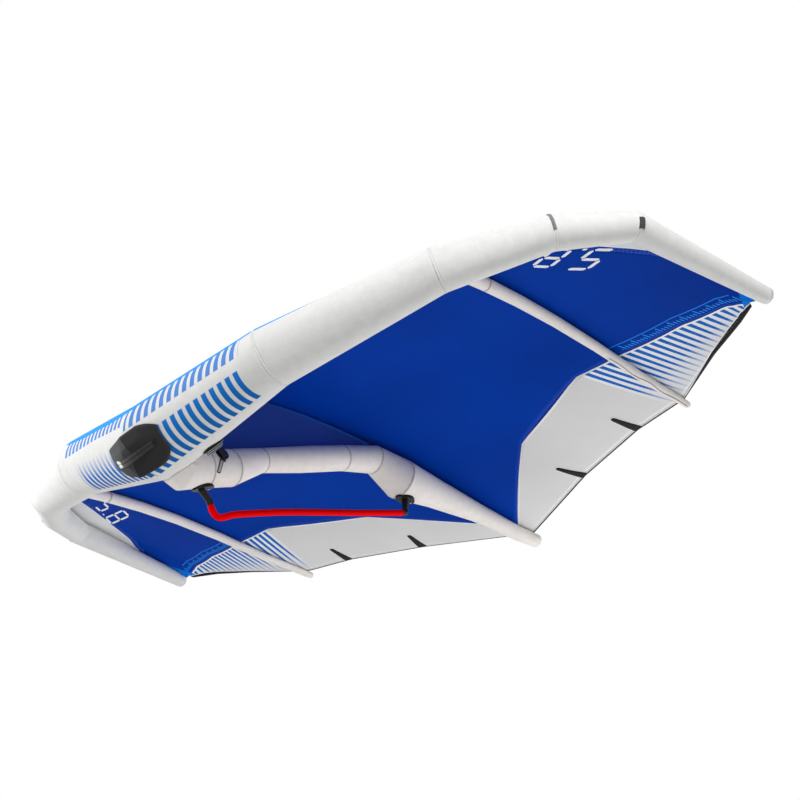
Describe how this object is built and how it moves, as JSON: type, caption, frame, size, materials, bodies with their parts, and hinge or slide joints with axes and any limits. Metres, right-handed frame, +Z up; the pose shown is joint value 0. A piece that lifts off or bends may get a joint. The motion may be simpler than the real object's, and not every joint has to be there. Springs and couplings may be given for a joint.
{
  "type": "wingfoil_wing",
  "caption": "Inflatable hand-held foiling wing: swept leading edge tube, centre and side struts, cambered fabric canopy, boom handle, padded front handle, valves",
  "frame": {"origin": "Middle of the underside of the bounding box, below the boom's lowest bend", "axes": "+X along the span to the wing's own side with the inflation valve, +Y from the leading edge to the trailing edge, +Z up through the canopy"},
  "size_m": [3.435, 2.2864, 0.6578],
  "materials": {
    "tube_cloth": "matte woven polyester",
    "strut_cloth": "matte woven polyester",
    "blue_cloth": "satin ripstop",
    "web_cloth": "satin ripstop",
    "grey_cloth": "satin ripstop",
    "edge_tape": "matte webbing",
    "batten": "matte",
    "bladder_film": "clear film",
    "black_plastic": "matte",
    "grey_plastic": "matte",
    "grip_foam": "soft foam",
    "boom_tube": "black anodised",
    "pad_foam": "soft foam",
    "webbing": "matte webbing",
    "bolt_steel": "satin"
  },
  "bodies": {
    "wing": {"le_center": "tube_cloth", "le_inner_R": "tube_cloth", "le_inner_L": "tube_cloth", "le_mid_R": "tube_cloth", "le_mid_L": "tube_cloth", "le_outer_R": "tube_cloth", "le_outer_L": "tube_cloth", "le_tip_R": "tube_cloth", "le_tip_L": "tube_cloth", "le_cap_R": "tube_cloth", "le_cap_L": "tube_cloth", "canopy_front_R": "blue_cloth", "canopy_front_L": "blue_cloth", "canopy_rear_R": "grey_cloth", "canopy_rear_L": "grey_cloth", "canopy_outer_R": "blue_cloth", "canopy_outer_L": "blue_cloth", "canopy_striped_R": "grey_cloth", "canopy_striped_L": "grey_cloth", "tip_panel_R": "grey_cloth", "tip_panel_L": "grey_cloth", "edge_tape_inner_R": "edge_tape", "edge_tape_inner_L": "edge_tape", "edge_tape_outer_R": "edge_tape", "edge_tape_outer_L": "edge_tape", "batten_inner_R": "batten", "batten_inner_L": "batten", "batten_outer_R": "batten", "batten_outer_L": "batten", "center_strut_root": "strut_cloth", "center_strut_bulge": "strut_cloth", "center_strut_cone": "strut_cloth", "center_strut_neck": "strut_cloth", "center_strut_elbow": "strut_cloth", "center_strut_knee": "strut_cloth", "center_strut_tail": "strut_cloth", "strut_web": "web_cloth", "side_strut_front_R": "strut_cloth", "side_strut_main_R": "strut_cloth", "side_strut_front_L": "strut_cloth", "side_strut_main_L": "strut_cloth", "le_bladder": "bladder_film", "center_strut_bladder": "bladder_film", "side_strut_bladder_R": "bladder_film", "side_strut_bladder_L": "bladder_film", "boom_grip": "grip_foam", "boom_tube": "boom_tube", "boom_mount_front": "black_plastic", "boom_bolt_front": "bolt_steel", "boom_mount_rear": "black_plastic", "boom_bolt_rear": "bolt_steel", "handle_pad": "pad_foam", "handle_strap": "webbing", "handle_keeper_L": "bolt_steel", "handle_keeper_R": "bolt_steel", "le_valve_base": "black_plastic", "le_valve_collar": "grey_plastic", "strut_valve_base": "black_plastic"},
    "le_valve_cap_body": {"le_valve_cap": "grey_plastic"},
    "strut_valve_cap_body": {"strut_valve_cap": "grey_plastic"}
  },
  "joints": [
    {"name": "le_valve_cap_hinge", "type": "hinge", "parent": "wing", "child": "le_valve_cap_body", "pos_m": [0.14339, -0.85873, 0.17099], "axis": [-0.2768, 0.7292, 0.6259], "range_deg": [0, 130]},
    {"name": "strut_valve_cap_hinge", "type": "hinge", "parent": "wing", "child": "strut_valve_cap_body", "pos_m": [0.06365, -0.72335, 0.25433], "axis": [-0.1879, -0.9636, 0.1899], "range_deg": [0, 150]}
  ]
}
